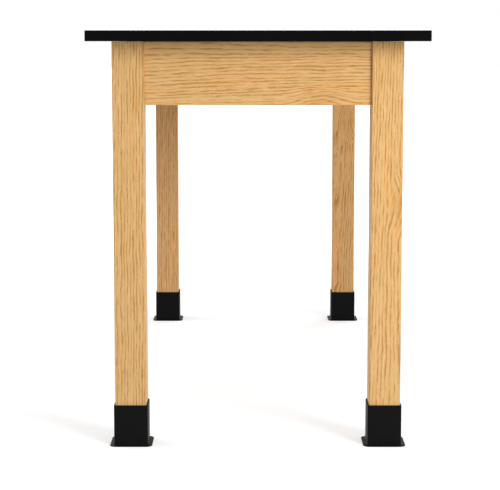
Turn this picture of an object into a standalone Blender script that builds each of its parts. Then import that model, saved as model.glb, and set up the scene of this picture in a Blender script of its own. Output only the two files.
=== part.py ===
"""A laboratory table: a black slab top on an oak frame with bolted legs, leveling feet and moulded boots.

Metres, +Z up. The origin is on the floor under the middle of the table. The table's length runs
along Y, its front end faces -Y, and its right side is +X.
"""

import math

import bmesh
import bpy
from mathutils import Matrix, Vector

# The gap left between neighbouring pieces.
FIT_GAP = 0.0003

# The whole table.
TABLE_HEIGHT = 0.762
TOP_LENGTH = 1.524
TOP_WIDTH = 0.6096
TOP_THICKNESS = 0.01905
TOP_EDGE_RADIUS = 0.0008
TOP_END_OVERHANG = 0.0627
TOP_SIDE_OVERHANG = 0.0419

# Oak legs, with a flat planed on the inner corner for the hanger bolt.
LEG_WIDTH = 0.05715
LEG_EDGE_RADIUS = 0.0015
LEG_FLAT_CUTBACK = 0.012
LEG_FLAT_HEIGHT = 0.09

# Oak aprons, butted between the legs and set back from their outer faces.
APRON_HEIGHT = 0.1143
APRON_THICKNESS = 0.01905
APRON_SETBACK = 0.00635
APRON_EDGE_RADIUS = 0.001

# The oak rail across the middle, its ends housed in the side aprons.
RAIL_HEIGHT = 0.0889
RAIL_THICKNESS = 0.01905
RAIL_EDGE_RADIUS = 0.001
RAIL_HOUSING_DEPTH = 0.0064

# Steel corner brackets, bent from one strip and hooked into saw kerfs in the aprons.
BRACKET_THICKNESS = 0.002
BRACKET_HEIGHT = 0.064
BRACKET_STANDOFF = 0.009
BRACKET_TAB_LENGTH = 0.022
BRACKET_LIP_DEPTH = 0.008

# The hanger bolt of each leg, with its washer and nut.
BOLT_DIAMETER = 0.0079
BOLT_LENGTH = 0.0762
BOLT_BITE = 0.04
BOLT_POINT_LENGTH = 0.006
BOLT_END_CHAMFER = 0.0008
WASHER_DIAMETER = 0.022
WASHER_THICKNESS = 0.0016
NUT_ACROSS_FLATS = 0.0127
NUT_THICKNESS = 0.0067

# Hardwood cleats glued inside the aprons, which hold the top down.
CLEAT_WIDTH = 0.0254
CLEAT_HEIGHT = 0.022
CLEAT_END_GAP = 0.006
CLEAT_EDGE_RADIUS = 0.001

# A machine screw up through each cleat, and the brass insert that it enters in the top.
SCREW_DIAMETER = 0.0048
SCREW_HEAD_DIAMETER = 0.0095
SCREW_HEAD_HEIGHT = 0.003
SCREW_CROWN_DIAMETER = 0.0055
SCREW_CROWN_DROP = 0.0011
SCREW_END_CHAMFER = 0.0006
INSERT_DIAMETER = 0.0079
INSERT_LENGTH = 0.0095
INSERT_HOLE_EXTRA = 0.0015

# The leveler under each leg: a pad on the floor, a stem with a hexagon, and a threaded sleeve.
PAD_DIAMETER = 0.03175
PAD_HEIGHT = 0.009
PAD_RIM_HEIGHT = 0.003
PAD_HUB_DIAMETER = 0.0175
PAD_FLOOR_THICKNESS = 0.004
PAD_SOCKET_DIAMETER = 0.0105
HEXAGON_ACROSS_FLATS = 0.0143
HEXAGON_HEIGHT = 0.006
STEM_DIAMETER = 0.0079
STEM_LENGTH = 0.042
STEM_END_CHAMFER = 0.001
SLEEVE_DIAMETER = 0.0111
SLEEVE_LENGTH = 0.016
SLEEVE_FLANGE_DIAMETER = 0.0222
SLEEVE_FLANGE_THICKNESS = 0.0015
STEM_BORE_CLEARANCE = 0.001
STEM_BORE_EXTRA_DEPTH = 0.003

# The black boot round each foot: a square sleeve over the leg with a flange on the floor.
BOOT_HEIGHT = 0.0762
BOOT_WALL = 0.0025
BOOT_RIM_RADIUS = 0.0008
BOOT_FLANGE_REACH = 0.0077
BOOT_FLANGE_THICKNESS = 0.0018
BOOT_FLANGE_EDGE_RADIUS = 0.0006
BOOT_COVE_RADIUS = 0.003

# How finely round shapes are faceted.
SCREW_SIDES = 12
BOLT_SIDES = 16
STEM_SIDES = 24
PAD_SIDES = 32
CORNER_STEPS = 5
COVE_STEPS = 3
EDGE_STEPS = 2

# A regular hexagon, and its width across flats over the radius of its corners.
HEXAGON_SIDES = 6
HEXAGON_FLATS_PER_RADIUS = math.sqrt(3)

# Each material's colour, roughness and metallic share.
FINISHES = {
    "black_slab": ((0.012, 0.012, 0.014), 0.42, 0.0),
    "golden_oak": ((0.69, 0.41, 0.17), 0.4, 0.0),
    "plain_hardwood": ((0.6, 0.4, 0.2), 0.6, 0.0),
    "plated_steel": ((0.55, 0.55, 0.53), 0.38, 1.0),
    "zinc_plate": ((0.62, 0.62, 0.6), 0.33, 1.0),
    "brass": ((0.75, 0.55, 0.25), 0.35, 1.0),
    "black_moulding": ((0.012, 0.012, 0.012), 0.5, 0.0),
    "dark_pad": ((0.03, 0.03, 0.03), 0.6, 0.0),
}

# How far a cutter runs past the face that it cuts, and how near points are one.
CUT_OVERRUN = 0.004
WELD_DISTANCE = 0.00001
SMOOTH_ANGLE = math.radians(35)

# Sizes that follow from the ones above.
FRAME_LENGTH = TOP_LENGTH - 2 * TOP_END_OVERHANG
FRAME_WIDTH = TOP_WIDTH - 2 * TOP_SIDE_OVERHANG
UNDERSIDE_Z = TABLE_HEIGHT - TOP_THICKNESS
FRAME_TOP_Z = UNDERSIDE_Z - FIT_GAP
LEG_X = (FRAME_WIDTH - LEG_WIDTH) / 2
LEG_Y = (FRAME_LENGTH - LEG_WIDTH) / 2
APRON_INSET = APRON_SETBACK + APRON_THICKNESS
APRON_Z = FRAME_TOP_Z - APRON_HEIGHT / 2
APRON_INNER_X = FRAME_WIDTH / 2 - APRON_INSET
APRON_INNER_Y = FRAME_LENGTH / 2 - APRON_INSET

# In a corner's own frame the aprons' inner faces are x = 0 and y = 0, and the leg fills that
# corner. Distances are along the diagonal, from the aprons' crossing towards the table's middle.
LEG_INNER = LEG_WIDTH - APRON_INSET
FLAT_DISTANCE = (2 * LEG_INNER - LEG_FLAT_CUTBACK) / math.sqrt(2)
WEB_DISTANCE = FLAT_DISTANCE + BRACKET_STANDOFF + BRACKET_THICKNESS / 2
TAB_DEPTH = FIT_GAP + BRACKET_THICKNESS / 2
WEB_END = WEB_DISTANCE * math.sqrt(2) - TAB_DEPTH
BRACKET_REACH = WEB_END + BRACKET_TAB_LENGTH
WASHER_DISTANCE = WEB_DISTANCE + (BRACKET_THICKNESS + WASHER_THICKNESS) / 2 + FIT_GAP
NUT_DISTANCE = WASHER_DISTANCE + (WASHER_THICKNESS + NUT_THICKNESS) / 2 + FIT_GAP
BOLT_POINT_DISTANCE = FLAT_DISTANCE - BOLT_BITE

# Heights of the leveler's pieces at rest, screwed right in.
HEXAGON_Z = PAD_HEIGHT + FIT_GAP
HEXAGON_TOP_Z = HEXAGON_Z + HEXAGON_HEIGHT
STEM_TOP_Z = HEXAGON_TOP_Z + STEM_LENGTH
SLEEVE_Z = HEXAGON_TOP_Z + FIT_GAP
SLEEVE_TOP_Z = SLEEVE_Z + SLEEVE_LENGTH
LEG_BOTTOM_Z = SLEEVE_Z + SLEEVE_FLANGE_THICKNESS + FIT_GAP

# The table's corners, as the signs of their X and Y.
CORNERS = {
    "front_left": (-1, -1),
    "front_right": (1, -1),
    "rear_left": (-1, 1),
    "rear_right": (1, 1),
}


def clear_scene():
    """Removes whatever the scene holds."""
    for thing in list(bpy.data.objects):
        bpy.data.objects.remove(thing, do_unlink=True)


def new_collection(name):
    """A collection linked to the scene."""
    collection = bpy.data.collections.new(name)
    bpy.context.scene.collection.children.link(collection)
    return collection


def new_material(name, colour, roughness, metallic):
    """A plain Principled material."""
    material = bpy.data.materials.new(name)
    material.use_nodes = True
    shader = material.node_tree.nodes["Principled BSDF"]
    shader.inputs["Base Color"].default_value = (*colour, 1.0)
    shader.inputs["Roughness"].default_value = roughness
    shader.inputs["Metallic"].default_value = metallic
    return material


def finished_mesh(shape, name, material=None):
    """Turns a bmesh into a mesh with its faces pointing out and its round sides smooth."""
    bmesh.ops.recalc_face_normals(shape, faces=shape.faces)
    mesh = bpy.data.meshes.new(name)
    shape.to_mesh(mesh)
    shape.free()
    mesh.shade_smooth()
    mesh.set_sharp_from_angle(angle=SMOOTH_ANGLE)
    if material:
        mesh.materials.append(material)
    return mesh


def place_piece(name, mesh, collection, place, parent=None):
    """An object for one piece, placed in the table's frame or in its parent's."""
    piece = bpy.data.objects.new(name, mesh)
    collection.objects.link(piece)
    piece.parent = parent
    piece.matrix_local = place
    return piece


def place_cutter(name, shape, collection):
    """A wire object that the Boolean modifiers cut with."""
    cutter = place_piece(name, finished_mesh(shape, name), collection, Matrix.Identity(4))
    cutter.display_type = "WIRE"
    cutter.hide_render = True
    return cutter


def add_boolean(piece, operation, other):
    """Cuts a piece with another object, or joins the two."""
    boolean = piece.modifiers.new(other.name, "BOOLEAN")
    boolean.operation = operation
    boolean.solver = "EXACT"
    boolean.object = other


def cut(piece, *cutters):
    """Cuts a piece with each cutter in turn."""
    for cutter in cutters:
        add_boolean(piece, "DIFFERENCE", cutter)


def eased_box(name, size, material, radius, axes):
    """A box round its origin, with its edges along the given axes rounded."""
    shape = bmesh.new()
    bmesh.ops.create_cube(shape, size=1.0, matrix=Matrix.Diagonal((*size, 1.0)))
    edges = []
    for edge in shape.edges:
        run = edge.verts[1].co - edge.verts[0].co
        if any(abs(run[axis]) > WELD_DISTANCE for axis in axes):
            edges.append(edge)
    bmesh.ops.bevel(
        shape, geom=edges, offset=radius, segments=EDGE_STEPS, profile=0.5, affect="EDGES"
    )
    return finished_mesh(shape, name, material)


def aim(direction):
    """The turn that points a piece's own +Z along a direction."""
    return direction.to_track_quat("Z", "Y").to_matrix().to_4x4()


def add_rod(shape, radius, start, end, sides):
    """Adds a closed rod with flat ends to a bmesh."""
    bmesh.ops.create_cone(
        shape,
        cap_ends=True,
        segments=sides,
        radius1=radius,
        radius2=radius,
        depth=(end - start).length,
        matrix=Matrix.Translation((start + end) / 2) @ aim(end - start),
    )


def add_box(shape, size, place):
    """Adds a plain box to a bmesh."""
    bmesh.ops.create_cube(shape, size=1.0, matrix=place @ Matrix.Diagonal((*size, 1.0)))


def turned_mesh(name, profile, sides, material=None, closed=False):
    """Turns a profile round Z. Its (radius, height) points run down the outer side."""
    outline = bpy.data.meshes.new(name)
    edges = [(n, n + 1) for n in range(len(profile) - 1)]
    if closed:
        edges.append((len(profile) - 1, 0))
    outline.from_pydata([(radius, 0.0, height) for radius, height in profile], edges, [])
    holder = bpy.data.objects.new(name, outline)
    bpy.context.scene.collection.objects.link(holder)
    turn = holder.modifiers.new("Turn", "SCREW")
    turn.steps = sides
    turn.render_steps = sides
    turn.use_merge_vertices = True
    turn.merge_threshold = WELD_DISTANCE
    shape = bmesh.new()
    shape.from_object(holder, bpy.context.evaluated_depsgraph_get())
    bpy.data.objects.remove(holder, do_unlink=True)
    bpy.data.meshes.remove(outline)
    return finished_mesh(shape, name, material)


def corner_frame(x_sign, y_sign):
    """The frame of one corner: its origin where the aprons' inner faces cross, +X and +Y inwards."""
    turn = math.atan2(-y_sign, -x_sign) - math.pi / 4
    crossing = Matrix.Translation((x_sign * APRON_INNER_X, y_sign * APRON_INNER_Y, 0))
    return crossing @ Matrix.Rotation(turn, 4, "Z")


def foot_frame(x_sign, y_sign):
    """The frame of one foot, on the floor under the leg's axis."""
    return Matrix.Translation((x_sign * LEG_X, y_sign * LEG_Y, 0))


def diagonal_point(distance):
    """A point on a corner's diagonal at the middle height of the aprons."""
    return Vector((distance / math.sqrt(2), distance / math.sqrt(2), APRON_Z))


def mirrored_pair(x, y, z):
    """A point or size of a corner's frame, and its mirror image across the diagonal."""
    return [Vector((x, y, z)), Vector((y, x, z))]


def bolt_cutter(collection):
    """Rods that open the holes for the hanger bolts, from the nuts into the legs."""
    shape = bmesh.new()
    for signs in CORNERS.values():
        start = corner_frame(*signs) @ diagonal_point(BOLT_POINT_DISTANCE - FIT_GAP)
        end = corner_frame(*signs) @ diagonal_point(BOLT_POINT_DISTANCE + BOLT_LENGTH + CUT_OVERRUN)
        add_rod(shape, BOLT_DIAMETER / 2 + FIT_GAP, start, end, BOLT_SIDES)
    return place_cutter("hanger_bolt_cutter", shape, collection)


def leg_flat_cutter(collection):
    """Boxes that plane the flats on the legs' inner corners."""
    shape = bmesh.new()
    size = (LEG_WIDTH, LEG_WIDTH, LEG_FLAT_HEIGHT)
    middle = diagonal_point(FLAT_DISTANCE + LEG_WIDTH / 2)
    for signs in CORNERS.values():
        place = corner_frame(*signs) @ Matrix.Translation(middle)
        add_box(shape, size, place @ Matrix.Rotation(math.pi / 4, 4, "Z"))
    return place_cutter("leg_flat_cutter", shape, collection)


def kerf_cutter(collection):
    """Boxes that saw the kerfs for the brackets' lips across the aprons' inner faces."""
    shape = bmesh.new()
    width = BRACKET_THICKNESS + 2 * FIT_GAP
    depth = BRACKET_LIP_DEPTH + FIT_GAP
    run = depth + CUT_OVERRUN
    tall = APRON_HEIGHT + 2 * CUT_OVERRUN
    middles = mirrored_pair(BRACKET_REACH, (CUT_OVERRUN - depth) / 2, APRON_Z)
    sizes = mirrored_pair(width, run, tall)
    for signs in CORNERS.values():
        for middle, size in zip(middles, sizes):
            add_box(shape, size, corner_frame(*signs) @ Matrix.Translation(middle))
    return place_cutter("kerf_cutter", shape, collection)


def housing_cutter(collection):
    """Boxes that cut the housings for the rail's ends, open at the aprons' top edges."""
    shape = bmesh.new()
    tall = RAIL_HEIGHT + FIT_GAP + CUT_OVERRUN
    run = RAIL_HOUSING_DEPTH + CUT_OVERRUN
    size = (run, RAIL_THICKNESS + 2 * FIT_GAP, tall)
    x = APRON_INNER_X + RAIL_HOUSING_DEPTH - run / 2
    z = FRAME_TOP_Z + CUT_OVERRUN - tall / 2
    for x_sign in (-1, 1):
        add_box(shape, size, Matrix.Translation((x_sign * x, 0, z)))
    return place_cutter("housing_cutter", shape, collection)


def leveler_bore_cutter(collection):
    """Stepped bores up the legs for the threaded sleeves and the stems above them."""
    sleeve = SLEEVE_DIAMETER / 2 + FIT_GAP
    stem = STEM_DIAMETER / 2 + STEM_BORE_CLEARANCE
    profile = [
        (0.0, STEM_TOP_Z + STEM_BORE_EXTRA_DEPTH),
        (stem, STEM_TOP_Z + STEM_BORE_EXTRA_DEPTH),
        (stem, SLEEVE_TOP_Z + FIT_GAP),
        (sleeve, SLEEVE_TOP_Z + FIT_GAP),
        (sleeve, LEG_BOTTOM_Z - CUT_OVERRUN),
        (0.0, LEG_BOTTOM_Z - CUT_OVERRUN),
    ]
    bore = turned_mesh("leveler_bore", profile, STEM_SIDES)
    shape = bmesh.new()
    for signs in CORNERS.values():
        copy = bore.copy()
        copy.transform(foot_frame(*signs))
        shape.from_mesh(copy)
        bpy.data.meshes.remove(copy)
    bpy.data.meshes.remove(bore)
    return place_cutter("leveler_bore_cutter", shape, collection)


def cleats():
    """Each cleat's name, centre and size."""
    side_x = APRON_INNER_X - FIT_GAP - CLEAT_WIDTH / 2
    end_y = APRON_INNER_Y - FIT_GAP - CLEAT_WIDTH / 2
    z = FRAME_TOP_Z - CLEAT_HEIGHT / 2
    side_start = RAIL_THICKNESS / 2 + CLEAT_END_GAP
    side_end = APRON_INNER_Y - BRACKET_REACH - CLEAT_END_GAP
    side_size = (CLEAT_WIDTH, side_end - side_start, CLEAT_HEIGHT)
    end_size = (2 * (APRON_INNER_X - BRACKET_REACH - CLEAT_END_GAP), CLEAT_WIDTH, CLEAT_HEIGHT)
    found = []
    for corner, (x_sign, y_sign) in CORNERS.items():
        centre = Vector((x_sign * side_x, y_sign * (side_start + side_end) / 2, z))
        found.append((corner + "_side", centre, side_size))
    for end, y_sign in (("front", -1), ("rear", 1)):
        found.append((end + "_end", Vector((0, y_sign * end_y, z)), end_size))
    return found


def top_screw_cutter(collection):
    """Rods that clear the top's screws, through the cleats and the inserts."""
    shape = bmesh.new()
    for _, centre, _ in cleats():
        start = Vector((centre.x, centre.y, FRAME_TOP_Z - CLEAT_HEIGHT - CUT_OVERRUN))
        end = Vector((centre.x, centre.y, UNDERSIDE_Z + INSERT_LENGTH + CUT_OVERRUN))
        add_rod(shape, SCREW_DIAMETER / 2 + FIT_GAP, start, end, SCREW_SIDES)
    return place_cutter("top_screw_cutter", shape, collection)


def insert_cutter(collection):
    """Blind holes in the top for its brass inserts."""
    shape = bmesh.new()
    for _, centre, _ in cleats():
        start = Vector((centre.x, centre.y, UNDERSIDE_Z - CUT_OVERRUN))
        end = Vector((centre.x, centre.y, UNDERSIDE_Z + INSERT_LENGTH + INSERT_HOLE_EXTRA))
        add_rod(shape, INSERT_DIAMETER / 2 + FIT_GAP, start, end, SCREW_SIDES)
    return place_cutter("insert_cutter", shape, collection)


def make_top(material, collection):
    """The slab, with every edge slightly eased."""
    size = (TOP_WIDTH, TOP_LENGTH, TOP_THICKNESS)
    mesh = eased_box("table_top", size, material, TOP_EDGE_RADIUS, (0, 1, 2))
    middle = Matrix.Translation((0, 0, UNDERSIDE_Z + TOP_THICKNESS / 2))
    return place_piece("table_top", mesh, collection, middle)


def make_end_aprons(material, collection):
    """The two aprons across the table's ends."""
    size = (2 * (LEG_X - LEG_WIDTH / 2 - FIT_GAP), APRON_THICKNESS, APRON_HEIGHT)
    mesh = eased_box("end_apron", size, material, APRON_EDGE_RADIUS, (0,))
    y = APRON_INNER_Y + APRON_THICKNESS / 2
    aprons = []
    for end, sign in (("front", -1), ("rear", 1)):
        place = Matrix.Translation((0, sign * y, APRON_Z))
        aprons.append(place_piece(end + "_end_apron", mesh, collection, place))
    return aprons


def make_side_aprons(material, collection):
    """The two long aprons along the table's sides."""
    size = (APRON_THICKNESS, 2 * (LEG_Y - LEG_WIDTH / 2 - FIT_GAP), APRON_HEIGHT)
    mesh = eased_box("side_apron", size, material, APRON_EDGE_RADIUS, (1,))
    x = APRON_INNER_X + APRON_THICKNESS / 2
    aprons = []
    for side, sign in (("left", -1), ("right", 1)):
        place = Matrix.Translation((sign * x, 0, APRON_Z))
        aprons.append(place_piece(side + "_side_apron", mesh, collection, place))
    return aprons


def make_rail(material, collection):
    """The rail that stiffens the frame's middle and carries the top there."""
    size = (2 * (APRON_INNER_X + RAIL_HOUSING_DEPTH - FIT_GAP), RAIL_THICKNESS, RAIL_HEIGHT)
    mesh = eased_box("center_cross_rail", size, material, RAIL_EDGE_RADIUS, (0,))
    middle = Matrix.Translation((0, 0, FRAME_TOP_Z - RAIL_HEIGHT / 2))
    return place_piece("center_cross_rail", mesh, collection, middle)


def make_legs(material, collection):
    """The four square legs, each from its sleeve's flange up to the top."""
    height = FRAME_TOP_Z - LEG_BOTTOM_Z
    mesh = eased_box("leg", (LEG_WIDTH, LEG_WIDTH, height), material, LEG_EDGE_RADIUS, (2,))
    lift = Matrix.Translation((0, 0, LEG_BOTTOM_Z + height / 2))
    legs = []
    for corner, signs in CORNERS.items():
        legs.append(place_piece(corner + "_leg", mesh, collection, foot_frame(*signs) @ lift))
    return legs


def make_cleats(material, collection):
    """The cleats along the aprons' top edges."""
    pieces = []
    for name, centre, size in cleats():
        length_axis = 0 if size[0] > size[1] else 1
        mesh = eased_box(name + "_cleat", size, material, CLEAT_EDGE_RADIUS, (length_axis,))
        pieces.append(place_piece(name + "_cleat", mesh, collection, Matrix.Translation(centre)))
    return pieces


def bracket_mesh(material):
    """One open strip along a corner bracket's middle: lip, tab, web across the corner, tab, lip."""
    half = [(BRACKET_REACH, -BRACKET_LIP_DEPTH), (BRACKET_REACH, TAB_DEPTH), (WEB_END, TAB_DEPTH)]
    corners = half + [(y, x) for x, y in reversed(half)]
    shape = bmesh.new()
    low = [shape.verts.new((x, y, -BRACKET_HEIGHT / 2)) for x, y in corners]
    high = [shape.verts.new((x, y, BRACKET_HEIGHT / 2)) for x, y in corners]
    for n in range(len(corners) - 1):
        shape.faces.new((low[n], low[n + 1], high[n + 1], high[n]))
    return finished_mesh(shape, "corner_bracket", material)


def make_brackets(material, collection):
    """A steel bracket across each corner, as a strip with Solidify on an empty at the corner."""
    mesh = bracket_mesh(material)
    lift = Matrix.Translation((0, 0, APRON_Z))
    brackets = []
    for corner, signs in CORNERS.items():
        base = place_piece(corner + "_corner", None, collection, corner_frame(*signs))
        bracket = place_piece(corner + "_corner_bracket", mesh, collection, lift, base)
        solidify = bracket.modifiers.new("Thickness", "SOLIDIFY")
        solidify.thickness = BRACKET_THICKNESS
        solidify.offset = 0.0
        solidify.use_even_offset = True
        brackets.append(bracket)
    return brackets


def make_hanger_bolts(material, collection):
    """The bolt of each leg: a pointed end in the wood and a plain end out through the bracket."""
    radius = BOLT_DIAMETER / 2
    profile = [
        (0.0, BOLT_LENGTH),
        (radius - BOLT_END_CHAMFER, BOLT_LENGTH),
        (radius, BOLT_LENGTH - BOLT_END_CHAMFER),
        (radius, BOLT_POINT_LENGTH),
        (0.0, 0.0),
    ]
    mesh = turned_mesh("hanger_bolt", profile, BOLT_SIDES, material)
    point = Matrix.Translation(diagonal_point(BOLT_POINT_DISTANCE))
    for corner, signs in CORNERS.items():
        place = corner_frame(*signs) @ point @ aim(Vector((1, 1, 0)))
        place_piece(corner + "_hanger_bolt", mesh, collection, place)


def make_on_bolts(kind, distance, thickness, radius, sides, material, collection):
    """A washer or nut on each hanger bolt, as a rod that the bolt's cutter opens."""
    shape = bmesh.new()
    along = Vector((0, 0, thickness / 2))
    add_rod(shape, radius, -along, along, sides)
    mesh = finished_mesh(shape, kind, material)
    middle = Matrix.Translation(diagonal_point(distance))
    pieces = []
    for corner, signs in CORNERS.items():
        place = corner_frame(*signs) @ middle @ aim(Vector((1, 1, 0)))
        pieces.append(place_piece(f"{corner}_{kind}", mesh, collection, place))
    return pieces


def make_top_screws(material, collection):
    """A round-headed screw under each cleat, its shank up in the top's insert."""
    head = SCREW_HEAD_DIAMETER / 2
    shank = SCREW_DIAMETER / 2
    length = CLEAT_HEIGHT + 2 * FIT_GAP + INSERT_LENGTH
    profile = [
        (0.0, length),
        (shank - SCREW_END_CHAMFER, length),
        (shank, length - SCREW_END_CHAMFER),
        (shank, 0.0),
        (head, 0.0),
        (head, SCREW_CROWN_DROP - SCREW_HEAD_HEIGHT),
        (SCREW_CROWN_DIAMETER / 2, -SCREW_HEAD_HEIGHT),
        (0.0, -SCREW_HEAD_HEIGHT),
    ]
    mesh = turned_mesh("top_screw", profile, SCREW_SIDES, material)
    for name, centre, _ in cleats():
        seat = (centre.x, centre.y, FRAME_TOP_Z - CLEAT_HEIGHT - FIT_GAP)
        place_piece(name + "_top_screw", mesh, collection, Matrix.Translation(seat))


def make_inserts(material, collection):
    """The brass insert over each of the top's screws."""
    shape = bmesh.new()
    add_rod(shape, INSERT_DIAMETER / 2, Vector(), Vector((0, 0, INSERT_LENGTH)), SCREW_SIDES)
    mesh = finished_mesh(shape, "top_insert", material)
    inserts = []
    for name, centre, _ in cleats():
        place = Matrix.Translation((centre.x, centre.y, UNDERSIDE_Z))
        inserts.append(place_piece(name + "_top_insert", mesh, collection, place))
    return inserts


def rounded_square(half, radius, z):
    """Points round a level square with round corners, counter-clockwise from above."""
    points = []
    for quarter in range(4):
        centre_x = (half - radius) * (1 if quarter in (0, 3) else -1)
        centre_y = (half - radius) * (1 if quarter in (0, 1) else -1)
        for step in range(CORNER_STEPS + 1):
            angle = (quarter + step / CORNER_STEPS) * math.pi / 2
            x = centre_x + radius * math.cos(angle)
            y = centre_y + radius * math.sin(angle)
            points.append((x, y, z))
    return points


def boot_sections():
    """The boot's level sections, up the outside and down the inside: half width, radius, height."""
    inner = LEG_WIDTH / 2 + FIT_GAP
    inner_radius = LEG_EDGE_RADIUS + FIT_GAP
    outer = inner + BOOT_WALL
    outer_radius = inner_radius + BOOT_WALL
    flange = outer + BOOT_FLANGE_REACH
    flange_radius = outer_radius + BOOT_FLANGE_REACH
    deck = BOOT_FLANGE_THICKNESS
    sections = [(flange, flange_radius, 0.0)]
    for step in range(EDGE_STEPS + 1):
        angle = step / EDGE_STEPS * math.pi / 2
        inset = BOOT_FLANGE_EDGE_RADIUS * (1 - math.cos(angle))
        drop = BOOT_FLANGE_EDGE_RADIUS * (1 - math.sin(angle))
        sections.append((flange - inset, flange_radius - inset, deck - drop))
    for step in range(COVE_STEPS + 1):
        angle = step / COVE_STEPS * math.pi / 2
        out = BOOT_COVE_RADIUS * (1 - math.sin(angle))
        rise = BOOT_COVE_RADIUS * (1 - math.cos(angle))
        sections.append((outer + out, outer_radius + out, deck + rise))
    for step in range(EDGE_STEPS + 1):
        angle = step / EDGE_STEPS * math.pi / 2
        inset = BOOT_RIM_RADIUS * (1 - math.cos(angle))
        drop = BOOT_RIM_RADIUS * (1 - math.sin(angle))
        sections.append((outer - inset, outer_radius - inset, BOOT_HEIGHT - drop))
    sections.append((inner, inner_radius, BOOT_HEIGHT))
    sections.append((inner, inner_radius, 0.0))
    return sections


def boot_mesh(material):
    """A loft through the boot's sections, closed from the last back to the first."""
    shape = bmesh.new()
    rings = []
    for half, radius, z in boot_sections():
        rings.append([shape.verts.new(point) for point in rounded_square(half, radius, z)])
    for ring, after in zip(rings, rings[1:] + rings[:1]):
        for n in range(len(ring)):
            m = (n + 1) % len(ring)
            shape.faces.new((ring[n], ring[m], after[m], after[n]))
    return finished_mesh(shape, "boot", material)


def sleeve_mesh(material):
    """The threaded sleeve: a tube with a flange at its foot."""
    bore = STEM_DIAMETER / 2 + FIT_GAP
    tube = SLEEVE_DIAMETER / 2
    flange = SLEEVE_FLANGE_DIAMETER / 2
    profile = [
        (tube, SLEEVE_TOP_Z),
        (tube, SLEEVE_Z + SLEEVE_FLANGE_THICKNESS),
        (flange, SLEEVE_Z + SLEEVE_FLANGE_THICKNESS),
        (flange, SLEEVE_Z),
        (bore, SLEEVE_Z),
        (bore, SLEEVE_TOP_Z),
    ]
    return turned_mesh("leveler_sleeve", profile, STEM_SIDES, material, closed=True)


def pad_mesh(material):
    """The pad: a low cone with a socket for the stem's foot."""
    profile = [
        (0.0, PAD_FLOOR_THICKNESS),
        (PAD_SOCKET_DIAMETER / 2, PAD_FLOOR_THICKNESS),
        (PAD_SOCKET_DIAMETER / 2, PAD_HEIGHT),
        (PAD_HUB_DIAMETER / 2, PAD_HEIGHT),
        (PAD_DIAMETER / 2, PAD_RIM_HEIGHT),
        (PAD_DIAMETER / 2, 0.0),
        (0.0, 0.0),
    ]
    return turned_mesh("leveler_pad", profile, PAD_SIDES, material)


def stem_mesh(material):
    """The stem's rod and the foot in the pad's socket, turned in one. The hexagon is joined on."""
    foot = PAD_SOCKET_DIAMETER / 2 - FIT_GAP
    rod = STEM_DIAMETER / 2
    profile = [
        (0.0, STEM_TOP_Z),
        (rod - STEM_END_CHAMFER, STEM_TOP_Z),
        (rod, STEM_TOP_Z - STEM_END_CHAMFER),
        (rod, HEXAGON_Z + HEXAGON_HEIGHT / 2),
        (foot, HEXAGON_Z + HEXAGON_HEIGHT / 2),
        (foot, PAD_FLOOR_THICKNESS + FIT_GAP),
        (0.0, PAD_FLOOR_THICKNESS + FIT_GAP),
    ]
    return turned_mesh("leveler_stem", profile, STEM_SIDES, material)


def make_feet(materials, table, cutters):
    """The boot and leveler under each leg, with their origins on the leg's axis at the floor."""
    boot = boot_mesh(materials["black_moulding"])
    sleeve = sleeve_mesh(materials["zinc_plate"])
    pad = pad_mesh(materials["dark_pad"])
    rod = stem_mesh(materials["zinc_plate"])
    for corner, signs in CORNERS.items():
        place = foot_frame(*signs)
        place_piece(corner + "_boot", boot, table, place)
        place_piece(corner + "_leveler_sleeve", sleeve, table, place)
        place_piece(corner + "_leveler_pad", pad, table, place)
        stem = place_piece(corner + "_leveler_stem", rod, table, place)
        shape = bmesh.new()
        low = place @ Vector((0, 0, HEXAGON_Z))
        high = place @ Vector((0, 0, HEXAGON_TOP_Z))
        add_rod(shape, HEXAGON_ACROSS_FLATS / HEXAGON_FLATS_PER_RADIUS, low, high, HEXAGON_SIDES)
        add_boolean(stem, "UNION", place_cutter(corner + "_stem_hexagon", shape, cutters))


def build():
    """Models the whole table."""
    clear_scene()
    table = new_collection("lab_table")
    cutters = new_collection("cutters")
    materials = {name: new_material(name, *finish) for name, finish in FINISHES.items()}
    oak = materials["golden_oak"]
    zinc = materials["zinc_plate"]

    bolt_holes = bolt_cutter(cutters)
    kerfs = kerf_cutter(cutters)
    flats = leg_flat_cutter(cutters)
    housings = housing_cutter(cutters)
    bores = leveler_bore_cutter(cutters)
    screw_holes = top_screw_cutter(cutters)

    cut(make_top(materials["black_slab"], table), insert_cutter(cutters))
    for apron in make_end_aprons(oak, table):
        cut(apron, kerfs)
    for apron in make_side_aprons(oak, table):
        cut(apron, kerfs, housings)
    make_rail(oak, table)
    for leg in make_legs(oak, table):
        cut(leg, flats, bolt_holes, bores)
    for cleat in make_cleats(materials["plain_hardwood"], table):
        cut(cleat, screw_holes)
    for bracket in make_brackets(materials["plated_steel"], table):
        cut(bracket, bolt_holes)
    make_hanger_bolts(zinc, table)
    nut_radius = NUT_ACROSS_FLATS / HEXAGON_FLATS_PER_RADIUS
    washer = ("washer", WASHER_DISTANCE, WASHER_THICKNESS, WASHER_DIAMETER / 2, PAD_SIDES)
    nut = ("nut", NUT_DISTANCE, NUT_THICKNESS, nut_radius, HEXAGON_SIDES)
    for kind in (washer, nut):
        for piece in make_on_bolts(*kind, zinc, table):
            cut(piece, bolt_holes)
    make_top_screws(zinc, table)
    for insert in make_inserts(materials["brass"], table):
        cut(insert, screw_holes)
    make_feet(materials, table, cutters)


build()
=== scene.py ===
"""A laboratory table finished for rendering: oak grain, black slab, moulded boots and hardware.

The file is laid out as an add-on and is run as a script. main() calls one operator for each group
of pieces, and then one for the stage. Metres, +Z up. The table's length runs along Y, its front
end faces -Y, and its right side is +X.
"""

import math
from typing import NamedTuple

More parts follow.
